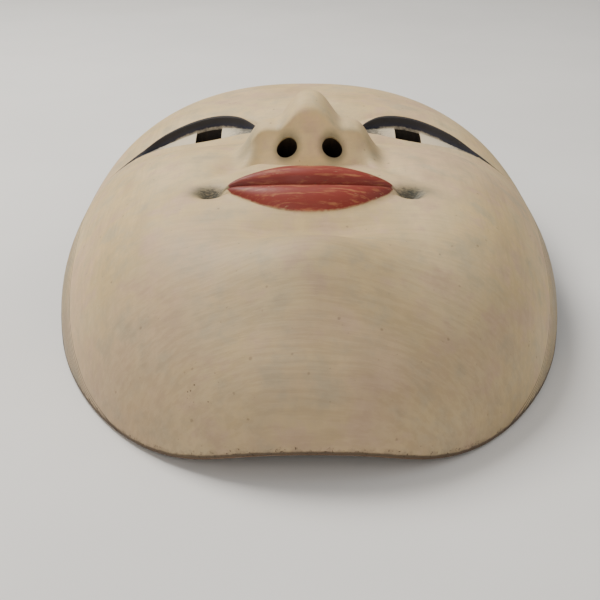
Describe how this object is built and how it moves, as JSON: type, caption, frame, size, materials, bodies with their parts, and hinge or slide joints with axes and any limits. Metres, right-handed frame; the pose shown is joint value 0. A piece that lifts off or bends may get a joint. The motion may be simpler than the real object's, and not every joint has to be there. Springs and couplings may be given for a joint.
{
  "type": "noh mask",
  "caption": "Carved wooden stage mask of a calm young woman, with a chalk-white painted face, pierced pupils, lacquered hollow back, cord holes and cloth pads.",
  "frame": {"origin": "middle of the box's underside: the plane of the flat back rim, under the middle of the face", "axes": "the mask lies face up on its rim: +X towards the wearer's left cheek, +Y up the face from chin to forehead, +Z out of the face"},
  "size_m": [0.136, 0.212, 0.0595],
  "materials": {
    "cypress_wood": "bare carved cypress, seen only at the rim and in the holes",
    "painted_gofun": "ground-shell chalk paint, ivory with age, low satin, with painted lids, lips and hair",
    "dark_lacquer": "thin dark brown lacquer over chisel marks",
    "pad_cloth": "plain woven cotton, undyed",
    "cotton_wadding": "loose cotton wadding"
  },
  "bodies": {
    "root": {"wood_shell": "cypress_wood", "gofun_coat": "painted_gofun", "back_lacquer": "dark_lacquer", "left_cord_hole_lining": "dark_lacquer", "right_cord_hole_lining": "dark_lacquer", "forehead_pad_cover": "pad_cloth", "forehead_pad_wadding": "cotton_wadding", "left_cheek_pad_cover": "pad_cloth", "left_cheek_pad_wadding": "cotton_wadding", "right_cheek_pad_cover": "pad_cloth", "right_cheek_pad_wadding": "cotton_wadding"}
  },
  "joints": []
}
